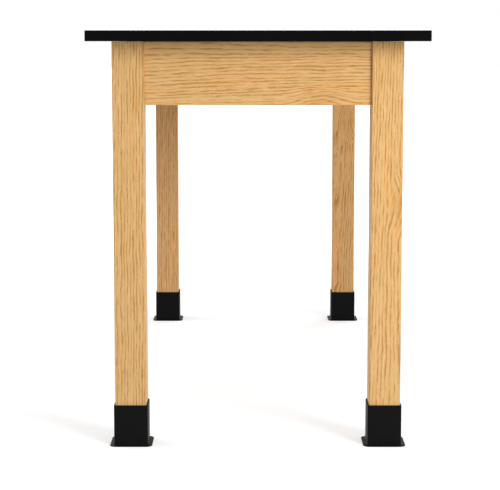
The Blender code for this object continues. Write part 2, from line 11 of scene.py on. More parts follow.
import bmesh
import bpy
from bpy.props import FloatProperty, FloatVectorProperty, IntProperty, PointerProperty
from mathutils import Euler, Matrix, Vector


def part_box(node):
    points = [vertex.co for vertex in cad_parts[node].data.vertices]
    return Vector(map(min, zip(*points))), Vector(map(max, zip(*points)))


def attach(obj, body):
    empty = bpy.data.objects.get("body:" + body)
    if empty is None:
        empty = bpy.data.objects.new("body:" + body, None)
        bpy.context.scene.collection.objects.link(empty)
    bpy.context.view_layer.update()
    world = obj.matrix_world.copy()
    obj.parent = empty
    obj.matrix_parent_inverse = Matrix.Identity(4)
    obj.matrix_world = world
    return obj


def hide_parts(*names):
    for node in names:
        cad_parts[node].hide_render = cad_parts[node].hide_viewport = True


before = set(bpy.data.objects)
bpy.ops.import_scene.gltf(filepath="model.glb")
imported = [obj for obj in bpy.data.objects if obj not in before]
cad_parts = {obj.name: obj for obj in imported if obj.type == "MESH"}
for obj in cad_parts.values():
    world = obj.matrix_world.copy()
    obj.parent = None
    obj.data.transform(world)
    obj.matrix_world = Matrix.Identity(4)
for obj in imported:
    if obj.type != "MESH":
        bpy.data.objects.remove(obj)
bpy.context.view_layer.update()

bl_info = {
    "name": "Laboratory Table Finish",
    "version": (1, 0, 0),
    "blender": (4, 5, 0),
    "location": "3D View > Sidebar > Lab Table",
    "description": "Finishes a laboratory table in oak, black slab, moulded boots and plated hardware",
    "category": "Object",
}

# The table's corners and ends, as the signs of their X and Y.
CORNERS = {"front_left": (-1, -1), "front_right": (1, -1), "rear_left": (-1, 1), "rear_right": (1, 1)}
CLEAT_NAMES = ["front_end", "rear_end"] + [corner + "_side" for corner in CORNERS]

# How the meshes are made.
SMOOTH_ANGLE = math.radians(32)
WELD_DISTANCE = 1e-6
RINGS_PER_TURN = 6
EDGE_STEPS = 4

# Sizes that several pieces share, in metres.
FIT_GAP = 0.0003
BORE_RADIUS = 0.00425
SCREW_HEIGHTS = (-0.019, 0.019)

# Where the two larger lamps stand, their width and height, and the point that all three lamps
# face, in metres.
REAR_LAMP_PLACE = (1.9, 3.4, 1.9)
FILL_LAMP_PLACE = (-2.8, 0.6, 2.1)
LARGE_LAMP_SIZE = 2.4
LAMP_TARGET = (0, -0.3, 0.45)

# The floor's half width and how far it lies under the origin, in metres. Its glow rises from
# NEAR_GLOW to 1 between the distances GLOW_START and GLOW_END from the origin.
FLOOR_REACH = 40.0
FLOOR_DROP = 0.0002
NEAR_GLOW = 0.46
GLOW_START = 0.9
GLOW_END = 2.6

# Turns that bring a board's grain upright, by the axis that its grain runs along.
GRAIN_TURNS = {
    "X": Euler((0, math.radians(-90), 0)).to_matrix(),
    "Y": Euler((math.radians(90), 0, 0)).to_matrix(),
    "Z": Matrix.Identity(3),
}


class Board(NamedTuple):
    """How one board was sawn: its grain's axis, its place in the tree, its tone and its knot."""

    grain: str
    from_pith: tuple
    lean: tuple
    rings: float
    tone: tuple
    knot: tuple = (0.0, 0.0, 9.0)


# Each oak board. Distances from the pith and knots are in metres, leans in degrees. Rings is a
# share of the usual ring spacing, and tone a share of the usual red, green and blue.
BOARDS = {
    "front_left_leg": Board("Z", (0.052, 0.046, 0.4), (0.9, -0.6), 1.1, (0.925, 0.94, 0.945)),
    "front_right_leg": Board(
        "Z", (-0.04, 0.045, 4.3), (1.4, -2.0), 1.2, (0.93, 0.935, 0.92), (0.262, -0.7, 0.448)
    ),
    "rear_left_leg": Board("Z", (0.07, -0.03, 5.7), (-0.8, 0.5), 0.85, (0.93, 0.895, 0.945)),
    "rear_right_leg": Board(
        "Z", (0.03, 0.085, 8.2), (1.2, -1.1), 0.8, (0.855, 0.81, 0.8), (0.25, 0.64, 0.53)
    ),
    "front_end_apron": Board(
        "X", (0.062, 0.035, 13.3), (0.7, 1.3), 1.2, (0.92, 0.915, 0.895), (0.11, -0.7, 0.64)
    ),
    "rear_end_apron": Board("X", (0.02, 0.06, 14.1), (-1.0, 0.8), 1.1, (0.98, 0.96, 0.95)),
    "left_side_apron": Board("Y", (0.05, -0.02, 17.6), (0.5, -0.7), 1.2, (0.96, 0.94, 0.93)),
    "right_side_apron": Board("Y", (0.045, 0.03, 21.3), (-0.6, 0.4), 1.0, (1.0, 0.99, 0.97)),
    "center_cross_rail": Board("X", (0.03, -0.05, 25.2), (0.8, 0.5), 1.0, (0.96, 0.93, 0.92)),
}


def colour_setting(name, description, default):
    """A colour that a user may change."""
    return FloatVectorProperty(
        name=name, description=description, subtype="COLOR", size=3, min=0.0, max=1.0, default=default
    )


def length_setting(name, description, default, least):
    """A length in metres that a user may change, and the least that it may be."""
    return FloatProperty(name=name, description=description, unit="LENGTH", min=least, default=default)


def share_setting(name, description, default):
    """A number from 0 to 1 that a user may change."""
    return FloatProperty(
        name=name, description=description, subtype="FACTOR", min=0.0, max=1.0, default=default
    )


def place_setting(name, description, default):
    """A place in metres that a user may change."""
    return FloatVectorProperty(
        name=name, description=description, subtype="XYZ", unit="LENGTH", size=3, default=default
    )


def power_setting(name, description, default):
    """A lamp's power that a user may change."""
    return FloatProperty(name=name, description=description, unit="POWER", min=0.0, default=default)


class LABTABLE_PG_oak(bpy.types.PropertyGroup):
    """The oak boards and the plain hardwood cleats."""

    light_wood: colour_setting(
        "Light Wood", "Colour of the dense wood between the pores", (0.84, 0.535, 0.24)
    )
    dark_wood: colour_setting(
        "Dark Wood", "Colour of the porous wood at the start of each ring", (0.55, 0.28, 0.079)
    )
    pore: colour_setting("Pore", "Colour of the open pores", (0.3, 0.125, 0.03))
    plain_wood: colour_setting("Plain Wood", "Colour of the bare hardwood cleats", (0.62, 0.44, 0.26))
    ring_spacing: length_setting("Ring Spacing", "Distance between growth rings", 0.0046, 0.0005)
    waviness: length_setting("Waviness", "How far the grain wanders from straight", 0.02, 0.0)
    contrast: share_setting("Contrast", "How strongly the rings show", 0.6)
    knot_reach: length_setting(
        "Knot Reach", "How far from a knot the rings bend round it", 0.034, 0.001
    )
    roughness: share_setting("Roughness", "Roughness of the lacquer", 0.46)
    # The darker band along the boards' edges is painted shade, where the rounded edges turn away from
    # the light.
    edge_shade_width: length_setting(
        "Edge Shade Width", "Width of the slightly darker band along the boards' edges", 0.003, 0.0001
    )


class LABTABLE_PG_slab(bpy.types.PropertyGroup):
    """The black top."""

    colour: colour_setting("Slab", "Colour of the resin", (0.0021, 0.0021, 0.0023))
    fleck: colour_setting(
        "Fleck", "Colour of the fine lighter fibres in the resin", (0.0055, 0.0055, 0.0062)
    )
    roughness: share_setting("Roughness", "Roughness of the satin surface", 0.38)
    worn_width: length_setting(
        "Worn Width", "Width of the slightly greyer band along the edges", 0.0012, 0.0001
    )


class LABTABLE_PG_boots(bpy.types.PropertyGroup):
    """The moulded boots and the leveler pads inside them."""

    colour: colour_setting("Boots", "Colour of the moulded boots", (0.0041, 0.0041, 0.0042))
    scuff: colour_setting("Scuffs", "Colour of the faint scuffs near the floor", (0.02, 0.02, 0.02))
    pad_colour: colour_setting("Pads", "Colour of the nylon pads", (0.03, 0.03, 0.031))
    roughness: share_setting("Roughness", "Roughness of the moulded surface", 0.45)
    wall: length_setting("Wall", "Thickness of a boot's wall", 0.0025, 0.0005)
    flange_thickness: length_setting(
        "Flange Thickness", "Thickness of a boot's flange on the floor", 0.0018, 0.001
    )
    cove_radius: length_setting(
        "Cove Radius", "Radius of the hollow between the wall and the flange", 0.003, 0.0005
    )
    edge_radius: length_setting("Edge Radius", "Radius of the flange's top edge", 0.0006, 0.0002)
    rim_radius: length_setting("Rim Radius", "Radius of the rim's edges", 0.0008, 0.0002)
    corner_steps: IntProperty(
        name="Corner Steps", description="Facets round each corner", min=2, default=10
    )


class LABTABLE_PG_hardware(bpy.types.PropertyGroup):
    """The brackets, bolts, nuts, screws, inserts and levelers."""

    zinc: colour_setting("Zinc", "Colour of the zinc plate", (0.62, 0.62, 0.6))
    steel: colour_setting("Steel", "Colour of the brackets' plated strip", (0.5, 0.49, 0.46))
    brass: colour_setting("Brass", "Colour of the inserts in the top", (0.75, 0.53, 0.22))
    bolt_pitch: length_setting(
        "Bolt Pitch", "Pitch of the threads on the bolts and leveler stems", 0.001411, 0.0002
    )
    bolt_thread_depth: length_setting(
        "Bolt Thread Depth", "Depth of the threads on the bolts and leveler stems", 0.0007, 0.0001
    )
    wood_pitch: length_setting("Wood Pitch", "Pitch of the bolts' wood threads", 0.0028, 0.0005)
    wood_thread_depth: length_setting(
        "Wood Thread Depth", "Depth of the bolts' wood threads", 0.0011, 0.0001
    )
    bolt_radius: length_setting(
        "Bolt Radius", "Outer radius of the bolts and leveler stems", 0.00395, 0.001
    )
    screw_head_radius: length_setting(
        "Screw Head Radius", "Radius of the bracket screws' heads", 0.0042, 0.001
    )
    screw_length: length_setting(
        "Screw Length", "Length of the bracket screws under their heads", 0.016, 0.004
    )
    strip_thickness: length_setting(
        "Strip Thickness", "Thickness of the brackets' steel strip", 0.002, 0.0005
    )
    tab_length: length_setting(
        "Tab Length", "Length of the brackets' tabs along the aprons", 0.022, 0.005
    )


class LABTABLE_PG_stage(bpy.types.PropertyGroup):
    """The camera, the floor and the lamps."""

    focal_length: FloatProperty(
        name="Focal Length",
        description="Focal length on a sensor 36 mm wide",
        unit="CAMERA",
        min=1.0,
        default=115.63,
    )
    camera_place: place_setting("Camera", "Where the camera stands", (-0.0142, -3.603, 0.7453))
    camera_pitch: FloatProperty(
        name="Camera Pitch",
        description="How far the camera looks down",
        unit="ROTATION",
        default=math.radians(7.276),
    )
    surroundings: FloatProperty(
        name="Surroundings",
        description="How bright the white surroundings are as a light",
        min=0.0,
        default=0.47,
    )
    key_power: power_setting("Key", "Power of the lamp at the front right", 92.0)
    key_place: place_setting("Key Place", "Where the front lamp stands", (2.2, -3.3, 1.4))
    key_size: length_setting("Key Size", "Width and height of the front lamp", 1.4, 0.01)
    rear_power: power_setting("Rear", "Power of the lamp at the rear right", 42.0)
    fill_power: power_setting("Fill", "Power of the lamp at the left", 30.0)


def feed(tree, socket, value):
    """Links a socket to another socket, or sets it to a value."""
    if isinstance(value, bpy.types.NodeSocket):
        tree.links.new(value, socket)
    else:
        socket.default_value = value


def maths(tree, operation, *values):
    """A Math node's output."""
    node = tree.nodes.new("ShaderNodeMath")
    node.operation = operation
    for socket, value in zip(node.inputs, values):
        feed(tree, socket, value)
    return node.outputs[0]


def vector_maths(tree, operation, *values, number=False):
    """A Vector Math node's vector, or its number where number is true."""
    node = tree.nodes.new("ShaderNodeVectorMath")
    node.operation = operation
    vectors = [socket for socket in node.inputs if socket.type == "VECTOR"]
    for socket, value in zip(vectors, values):
        feed(tree, socket, value)
    return node.outputs["Value" if number else "Vector"]


def scaled(tree, vector, factor):
    """A vector times a number."""
    node = tree.nodes.new("ShaderNodeVectorMath")
    node.operation = "SCALE"
    feed(tree, node.inputs[0], vector)
    feed(tree, node.inputs["Scale"], factor)
    return node.outputs["Vector"]


def smooth_step(tree, value, low, high, start=0.0, end=1.0):
    """A value eased from start to end as it goes from low to high."""
    node = tree.nodes.new("ShaderNodeMapRange")
    node.interpolation_type = "SMOOTHSTEP"
    for socket, setting in zip(node.inputs, (value, low, high, start, end)):
        feed(tree, socket, setting)
    return node.outputs[0]


def mixed(tree, share, first, second, blend="MIX"):
    """Two colours mixed by a share."""
    node = tree.nodes.new("ShaderNodeMix")
    node.data_type = "RGBA"
    node.blend_type = blend
    # The colours go into sockets 6 and 7, and come out of socket 2.
    feed(tree, node.inputs[0], share)
    feed(tree, node.inputs[6], first)
    feed(tree, node.inputs[7], second)
    return node.outputs[2]


def noise(tree, position, scales, detail, coloured=False):
    """A noise pattern with its own scale along each axis, as a number or a colour."""
    node = tree.nodes.new("ShaderNodeTexNoise")
    feed(tree, node.inputs["Vector"], vector_maths(tree, "MULTIPLY", position, scales))
    feed(tree, node.inputs["Scale"], 1.0)
    feed(tree, node.inputs["Detail"], detail)
    return node.outputs[1 if coloured else 0]


def centred(tree, value, spread):
    """A value from 0 to 1, moved to lie round 0 and spread."""
    return maths(tree, "MULTIPLY", maths(tree, "SUBTRACT", value, 0.5), spread)


def new_group(name, inputs, outputs):
    """An empty node group, with the outputs of its start and the inputs of its end."""
    group = bpy.data.node_groups.new(name, "ShaderNodeTree")
    for socket, kind in inputs.items():
        group.interface.new_socket(socket, in_out="INPUT", socket_type="NodeSocket" + kind)
    for socket, kind in outputs.items():
        group.interface.new_socket(socket, in_out="OUTPUT", socket_type="NodeSocket" + kind)
    start = group.nodes.new("NodeGroupInput")
    end = group.nodes.new("NodeGroupOutput")
    return group, start.outputs, end.inputs


def oak_grain():
    """Rings, pores and fibres of a board whose grain runs along Z, with the pith on the Z axis."""
    group, given, found = new_group(
        "Oak Grain",
        {
            "Position": "Vector",
            "Ring Spacing": "Float",
            "Waviness": "Float",
            "Contrast": "Float",
            "Knot": "Vector",
            "Knot Reach": "Float",
            "Light Wood": "Color",
            "Dark Wood": "Color",
            "Pore": "Color",
            "Roughness": "Float",
        },
        {"Color": "Color", "Roughness": "Float", "Height": "Float"},
    )
    position = given["Position"]

    # The rings wander slowly along the board, and ripple over shorter stretches.
    moved = position
    for scales, detail, share in (((8.0, 8.0, 1.5), 2.0, 1.0), ((50.0, 50.0, 22.0), 3.0, 0.27)):
        offset = noise(group, position, scales, detail, coloured=True)
        offset = vector_maths(group, "SUBTRACT", offset, (0.5, 0.5, 0.5))
        reach = maths(group, "MULTIPLY", given["Waviness"], share)
        moved = vector_maths(group, "ADD", moved, scaled(group, offset, reach))
    level = vector_maths(group, "MULTIPLY", moved, (1.0, 1.0, 0.0))
    radius = vector_maths(group, "LENGTH", level, number=True)

    # They bend round a knot, whose own wood is darker.
    from_knot = vector_maths(group, "SUBTRACT", position, given["Knot"])
    from_knot = vector_maths(group, "MULTIPLY", from_knot, (1.0, 1.0, 0.45))
    knot_distance = vector_maths(group, "LENGTH", from_knot, number=True)
    knot = smooth_step(group, knot_distance, 0.0, given["Knot Reach"], 1.0, 0.0)
    bend = maths(group, "MULTIPLY", given["Knot Reach"], 0.4)
    radius = maths(group, "MULTIPLY_ADD", knot, bend, radius)

    # Each ring starts with a porous band, whose width and strength vary.
    uneven = group.nodes.new("ShaderNodeTexNoise")
    uneven.noise_dimensions = "1D"
    feed(group, uneven.inputs["W"], radius)
    feed(group, uneven.inputs["Scale"], 130.0)
    rings = maths(group, "DIVIDE", radius, given["Ring Spacing"])
    rings = maths(group, "ADD", rings, centred(group, uneven.outputs[0], 0.8))
    phase = maths(group, "FRACT", rings)
    rise = smooth_step(group, phase, 0.0, 0.1)
    fall = smooth_step(group, phase, 0.15, 0.6, 1.0, 0.0)
    band = maths(group, "MULTIPLY", rise, fall)
    strength = noise(group, position, (200.0, 200.0, 30.0), 2.0)
    strength = smooth_step(group, strength, 0.3, 0.7, 0.1, 1.45)
    band = maths(group, "MULTIPLY", band, strength)

    # Fibres and fine streaks run along the grain, and the tone drifts over the board.
    streak = centred(group, noise(group, moved, (400.0, 400.0, 30.0), 2.0), 0.8)
    fibre = centred(group, noise(group, moved, (1100.0, 1100.0, 70.0), 2.0), 0.75)
    drift = centred(group, noise(group, position, (12.0, 12.0, 3.0), 1.0), 0.2)
    tight = maths(group, "MULTIPLY", maths(group, "MULTIPLY", knot, knot), 0.3)
    darkness = maths(group, "MULTIPLY_ADD", band, given["Contrast"], 0.28)
    for part in (streak, fibre, drift, tight):
        darkness = maths(group, "ADD", darkness, part)
    darkness = smooth_step(group, darkness, -0.15, 1.1)
    wood = mixed(group, darkness, given["Light Wood"], given["Dark Wood"])

    # Some strips along the grain are redder than the rest.
    redder = smooth_step(group, noise(group, moved, (75.0, 75.0, 2.6), 2.0), 0.5, 0.72)
    wood = mixed(group, redder, wood, mixed(group, 1.0, wood, (1.07, 0.96, 0.83, 1.0), "MULTIPLY"))

    # Open pores are short dark dashes, most of them in the porous band.
    dashes = smooth_step(group, noise(group, position, (2000.0, 2000.0, 90.0), 1.0), 0.57, 0.68)
    pores = maths(group, "MULTIPLY", dashes, maths(group, "MULTIPLY_ADD", band, 0.7, 0.2))
    shown = maths(group, "MULTIPLY", pores, 0.85)
    feed(group, found["Color"], mixed(group, shown, wood, given["Pore"]))
    feed(group, found["Roughness"], maths(group, "MULTIPLY_ADD", pores, 0.25, given["Roughness"]))
    relief = maths(group, "MULTIPLY_ADD", band, -0.3, centred(group, fibre, 0.4))
    feed(group, found["Height"], maths(group, "SUBTRACT", relief, pores))
    return group


def board_edges():
    """A mask along the edges of a board or slab, from the box that it fills."""
    group, given, found = new_group(
        "Board Edges",
        {"Position": "Vector", "Centre": "Vector", "Half Size": "Vector", "Width": "Float"},
        {"Mask": "Float"},
    )
    offset = vector_maths(group, "SUBTRACT", given["Position"], given["Centre"])
    offset = vector_maths(group, "ABSOLUTE", offset)
    depth = vector_maths(group, "SUBTRACT", given["Half Size"], offset)
    parts = group.nodes.new("ShaderNodeSeparateXYZ")
    feed(group, parts.inputs[0], depth)
    x, y, z = parts.outputs
    # On a face one depth is 0, so the middle one of the three is the distance to the nearest edge.
    lower = maths(group, "MINIMUM", x, y)
    higher = maths(group, "MAXIMUM", x, y)
    middle = maths(group, "MAXIMUM", lower, maths(group, "MINIMUM", higher, z))
    feed(group, found["Mask"], smooth_step(group, middle, 0.0, given["Width"], 1.0, 0.0))
    return group


def handling():
    """Roughness that varies as on a surface that hands and cloths have gone over."""
    group, given, found = new_group(
        "Handling",
        {"Position": "Vector", "Roughness": "Float", "Amount": "Float"},
        {"Roughness": "Float"},
    )
    position = given["Position"]
    smudges = centred(group, noise(group, position, (11.0, 8.0, 11.0), 3.0), 1.0)
    along = smooth_step(group, noise(group, position, (420.0, 9.0, 420.0), 2.0), 0.6, 0.78)
    across = smooth_step(group, noise(group, position, (7.0, 520.0, 520.0), 2.0), 0.62, 0.8)
    wipes = maths(group, "MAXIMUM", along, across)
    change = maths(group, "MULTIPLY_ADD", wipes, 0.35, smudges)
    varied = maths(group, "MULTIPLY_ADD", change, given["Amount"], given["Roughness"])
    feed(group, found["Roughness"], varied)
    return group


def plating():
    """Plated or turned metal: a mottled colour, and fine lines from the rolling or turning."""
    group, given, found = new_group(
        "Plating",
        {"Position": "Vector", "Metal": "Color", "Roughness": "Float", "Dulling": "Float"},
        {"Color": "Color", "Roughness": "Float", "Height": "Float"},
    )
    position = given["Position"]
    cloud = noise(group, position, (150.0, 150.0, 150.0), 4.0)
    lines = noise(group, position, (250.0, 250.0, 2600.0), 2.0)
    dull = smooth_step(group, cloud, 0.3, 0.75)
    dull = maths(group, "MULTIPLY", dull, given["Dulling"])
    faded = mixed(group, 1.0, given["Metal"], (0.78, 0.77, 0.74, 1.0), "MULTIPLY")
    feed(group, found["Color"], mixed(group, dull, given["Metal"], faded))
    rough = maths(group, "MULTIPLY_ADD", dull, 0.22, given["Roughness"])
    feed(group, found["Roughness"], maths(group, "ADD", rough, centred(group, lines, 0.16)))
    feed(group, found["Height"], maths(group, "MULTIPLY_ADD", lines, 0.6, cloud))
    return group


def moulding():
    """Moulded plastic: a fine even texture, faint flow lines, and scuffs near the floor."""
    group, given, found = new_group(
        "Moulding",
        {
            "Position": "Vector",
            "Plastic": "Color",
            "Scuff": "Color",
            "Scuff Height": "Float",
            "Roughness": "Float",
        },
        {"Color": "Color", "Roughness": "Float", "Height": "Float"},
    )
    position = given["Position"]
    parts = group.nodes.new("ShaderNodeSeparateXYZ")
    feed(group, parts.inputs[0], position)
    low = smooth_step(group, parts.outputs[2], 0.0, given["Scuff Height"], 1.0, 0.0)
    rubbed = smooth_step(group, noise(group, position, (260.0, 260.0, 900.0), 3.0), 0.55, 0.75)
    scuffs = maths(group, "MULTIPLY", low, rubbed)
    flow = noise(group, position, (30.0, 30.0, 120.0), 3.0)
    tinted = mixed(group, maths(group, "MULTIPLY", flow, 0.12), given["Plastic"], given["Scuff"])
    feed(group, found["Color"], mixed(group, scuffs, tinted, given["Scuff"]))
    rough = maths(group, "MULTIPLY_ADD", flow, 0.1, given["Roughness"])
    # Mops polish the flange, except where it is scuffed.
    rough = maths(group, "MULTIPLY_ADD", low, -0.08, rough)
    feed(group, found["Roughness"], maths(group, "MULTIPLY_ADD", scuffs, 0.3, rough))
    grain = noise(group, position, (1700.0, 1700.0, 1700.0), 2.0)
    feed(group, found["Height"], maths(group, "MULTIPLY_ADD", scuffs, 0.5, grain))
    return group


EFFECTS = {
    "Oak Grain": oak_grain,
    "Board Edges": board_edges,
    "Handling": handling,
    "Plating": plating,
    "Moulding": moulding,
}


def effect(tree, name, **values):
    """Places a shared node group in a material, builds it where it is new, and fills its inputs."""
    node = tree.nodes.new("ShaderNodeGroup")
    node.node_tree = bpy.data.node_groups.get(name) or EFFECTS[name]()
    node.label = name
    for socket, value in values.items():
        feed(tree, node.inputs[socket.replace("_", " ").title()], value)
    return node.outputs


class Surface(NamedTuple):
    """A new material: its tree, its place on the surface, and its shader's and relief's inputs."""

    material: bpy.types.Material
    tree: bpy.types.NodeTree
    place: bpy.types.NodeSocket
    shader: bpy.types.NodeInputs
    height: bpy.types.NodeSocket

    def covered(self, colour, roughness, height):
        """The material, with its colour, roughness and relief fed, in an effect's own order."""
        feed(self.tree, self.shader["Base Color"], colour)
        feed(self.tree, self.shader["Roughness"], roughness)
        feed(self.tree, self.height, height)
        return self.material


def new_surface(name, specular, bump, bump_distance):
    """A new material with the strength of its gloss and of its relief."""
    material = bpy.data.materials.new(name)
    material.use_nodes = True
    tree = material.node_tree
    shader = tree.nodes["Principled BSDF"]
    shader.inputs["Specular IOR Level"].default_value = specular
    place = tree.nodes.new("ShaderNodeTexCoord").outputs["Object"]
    relief = tree.nodes.new("ShaderNodeBump")
    relief.inputs["Strength"].default_value = bump
    relief.inputs["Distance"].default_value = bump_distance
    tree.links.new(relief.outputs["Normal"], shader.inputs["Normal"])
    return Surface(material, tree, place, shader.inputs, relief.inputs["Height"])


def opaque(colour, tone=(1.0, 1.0, 1.0)):
    """A colour with its alpha, its red, green and blue changed by a tone."""
    return (*(part * share for part, share in zip(colour, tone)), 1.0)


def shade(colour, share):
    """A colour with its alpha, made lighter or darker."""
    return opaque(colour, (share,) * 3)


def mapped(tree, place, turn, shift):
    """A place on the surface, turned and shifted."""
    mapping = tree.nodes.new("ShaderNodeMapping")
    for socket, value in (("Vector", place), ("Rotation", turn.to_euler()), ("Location", shift)):
        feed(tree, mapping.inputs[socket], value)
    return mapping.outputs["Vector"]


def edge_mask(tree, place, node, width):
    """A mask along the edges of one node of the frame."""
    low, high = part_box(node)
    middle = (low + high) / 2
    half = (high - low) / 2
    edges = effect(tree, "Board Edges", position=place, centre=middle, half_size=half, width=width)
    return edges["Mask"]


def oak_material(node, board, oak):
    """The oak of one board, cut from its own place in the tree."""
    lean = Euler([math.radians(angle) for angle in (*board.lean, 0)]).to_matrix()
    turn = lean @ GRAIN_TURNS[board.grain]
    shift = Vector(board.from_pith) - turn @ middle_of(node)
    surface = new_surface(node + "_oak", specular=0.14, bump=0.55, bump_distance=0.0002)
    tree, place = surface.tree, surface.place
    grain = effect(
        tree,
        "Oak Grain",
        position=mapped(tree, place, turn, shift),
        ring_spacing=oak.ring_spacing * board.rings,
        waviness=oak.waviness,
        contrast=oak.contrast,
        knot=turn @ Vector(board.knot) + shift,
        knot_reach=oak.knot_reach,
        light_wood=opaque(oak.light_wood, board.tone),
        dark_wood=opaque(oak.dark_wood, board.tone),
        pore=opaque(oak.pore),
        roughness=oak.roughness,
    )
    # Painted shade: the colour is mixed towards the dark wood along the edges, where the rounded edges
    # would fall into shade.
    share = maths(tree, "MULTIPLY", edge_mask(tree, place, node, oak.edge_shade_width), 0.3)
    colour = mixed(tree, share, grain["Color"], opaque(oak.dark_wood))
    worn = effect(tree, "Handling", position=place, roughness=grain["Roughness"], amount=0.12)
    return surface.covered(colour, worn["Roughness"], grain["Height"])


def cleat_material(node, oak):
    """Bare hardwood with a fine straight grain, along the cleat's longer side."""
    low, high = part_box(node)
    size = high - low
    turn = GRAIN_TURNS["X" if size.x > size.y else "Y"]
    from_pith = (0.05, 0.12, 0.3)
    surface = new_surface(node + "_wood", specular=0.2, bump=0.5, bump_distance=0.0002)
    grain = effect(
        surface.tree,
        "Oak Grain",
        position=mapped(surface.tree, surface.place, turn, from_pith),
        ring_spacing=oak.ring_spacing / 2,
        waviness=oak.waviness / 2,
        contrast=oak.contrast / 3,
        knot=(0.0, 0.0, 9.0),
        knot_reach=oak.knot_reach,
        light_wood=shade(oak.plain_wood, 1.1),
        dark_wood=shade(oak.plain_wood, 0.6),
        pore=shade(oak.plain_wood, 0.4),
        roughness=0.62,
    )
    return surface.covered(*grain)


def slab_material(slab):
    """Black resin with a fine texture, faint wipe marks and slightly greyer edges."""
    surface = new_surface("black_slab", specular=0.031, bump=0.1, bump_distance=0.00003)
    tree, place = surface.tree, surface.place
    texture = noise(tree, place, (900.0, 900.0, 900.0), 3.0)
    cloud = smooth_step(tree, noise(tree, place, (60.0, 60.0, 60.0), 4.0), 0.4, 0.75)
    flecks = maths(tree, "MULTIPLY", smooth_step(tree, texture, 0.52, 0.72), 0.8)
    share = maths(tree, "MAXIMUM", flecks, maths(tree, "MULTIPLY", cloud, 0.3))
    colour = mixed(tree, share, opaque(slab.colour), opaque(slab.fleck))
    worn = maths(tree, "MULTIPLY", edge_mask(tree, place, "table_top", slab.worn_width), 0.5)
    colour = mixed(tree, worn, colour, opaque(slab.fleck))
    hands = effect(tree, "Handling", position=place, roughness=slab.roughness, amount=0.05)
    return surface.covered(colour, hands["Roughness"], texture)


def moulded_material(name, colour, boots):
    """Black moulded plastic, scuffed a little near the floor."""
    surface = new_surface(name, specular=0.056, bump=0.3, bump_distance=0.00005)
    plastic = effect(
        surface.tree,
        "Moulding",
        position=surface.place,
        plastic=opaque(colour),
        scuff=opaque(boots.scuff),
        scuff_height=0.007,
        roughness=boots.roughness,
    )
    return surface.covered(*plastic)


def metal_material(name, colour, roughness, dulling):
    """Plated steel or brass."""
    surface = new_surface(name, specular=0.5, bump=0.2, bump_distance=0.00005)
    surface.shader["Metallic"].default_value = 1.0
    metal = effect(
        surface.tree,
        "Plating",
        position=surface.place,
        metal=opaque(colour),
        roughness=roughness,
        dulling=dulling,
    )
    return surface.covered(*metal)


def dress(node, material):
    """Gives a node of the frame a better material."""
    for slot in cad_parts[node].material_slots:
        slot.material = material


def finished_mesh(shape, name, material):
    """Turns a bmesh into a mesh with its faces pointing out and its round sides smooth."""
    bmesh.ops.remove_doubles(shape, verts=shape.verts, dist=WELD_DISTANCE)
    bmesh.ops.recalc_face_normals(shape, faces=shape.faces)
    mesh = bpy.data.meshes.new(name)
    shape.to_mesh(mesh)
    shape.free()
    mesh.shade_smooth()
    mesh.set_sharp_from_angle(angle=SMOOTH_ANGLE)
    mesh.materials.append(material)
    return mesh


def new_object(name, data):
    """A new object in the scene."""
    thing = bpy.data.objects.new(name, data)
    bpy.context.scene.collection.objects.link(thing)
    return thing


def lofted(name, rows, material, closed=False, capped=False):
    """A mesh through rows of points, closed back to the first row or capped at both ends if asked."""
    shape = bmesh.new()
    rings = [[shape.verts.new(point) for point in row] for row in rows]
    for ring, after in zip(rings, rings[1:] + rings[:1] if closed else rings[1:]):
        for n in range(len(ring)):
            m = (n + 1) % len(ring)
            shape.faces.new((ring[n], ring[m], after[m], after[n]))
    if capped:
        shape.faces.new(rings[0])
        shape.faces.new(rings[-1])
    return finished_mesh(shape, name, material)


def ring_at(ring, angle):
    """A ring's radius and height at an angle. A round ring is those two numbers themselves."""
    return ring(angle) if callable(ring) else ring


def turned(name, rings, material, sides=48, closed=False):
    """A loft through rings round Z, with a number of sides."""
    rows = []
    for ring in rings:
        row = []
        for n in range(sides):
            angle = 2 * math.pi * n / sides
            radius, height = ring_at(ring, angle)
            row.append((radius * math.cos(angle), radius * math.sin(angle), height))
        rows.append(row)
    return lofted(name, rows, material, closed)


def hexagon(apothem, height, chamfer_radius):
    """A six-sided ring. A chamfer cone from chamfer_radius bends its corners towards Z = 0."""

    def ring(angle):
        sixth = math.pi / 3
        radius = apothem / math.cos((angle + sixth / 2) % sixth - sixth / 2)
        drop = (radius - chamfer_radius) * math.tan(math.pi / 6)
        return radius, height - math.copysign(drop, height)

    return ring


def hexagon_rings(apothem, half_height, inner_radius):
    """The rings of a chamfered hexagon round Z = 0, from its lower face to its upper one."""
    chamfer = apothem * 0.95
    return [
        (inner_radius, -half_height),
        (chamfer, -half_height),
        hexagon(apothem, -half_height, chamfer),
        hexagon(apothem, half_height, chamfer),
        (chamfer, half_height),
        (inner_radius, half_height),
    ]


def raised(rings, lift):
    """Rings moved up."""

    def moved(ring):
        def place(angle):
            radius, height = ring_at(ring, angle)
            return radius, height + lift

        return place

    return [moved(ring) for ring in rings]


def thread_rings(low, high, radius, pitch, depth):
    """The rings of a threaded stretch, whose thread fades out within a turn of each end."""

    def ring(height):
        fade = max(0.0, min(1.0, (height - low) / pitch, (high - height) / pitch))

        def place(angle):
            turn = (height / pitch - angle / (2 * math.pi)) % 1.0
            # The groove stops short of the whole pitch, which leaves a narrow flat crest.
            groove = 1.0 - min(1.0, 1.15 * abs(2.0 * turn - 1.0))
            return radius - depth * fade * groove, height

        return place

    count = round((high - low) / pitch * RINGS_PER_TURN)
    return [ring(low + (high - low) * n / count) for n in range(count + 1)]


def machine_thread(low, high, hardware):
    """The rings of the thread on a hanger bolt's outer end or a leveler stem."""
    depth = hardware.bolt_thread_depth
    return thread_rings(low, high, hardware.bolt_radius, hardware.bolt_pitch, depth)


def aim(direction):
    """The turn that points a piece's own +Z along a direction."""
    return direction.to_track_quat("Z", "Y").to_matrix().to_4x4()


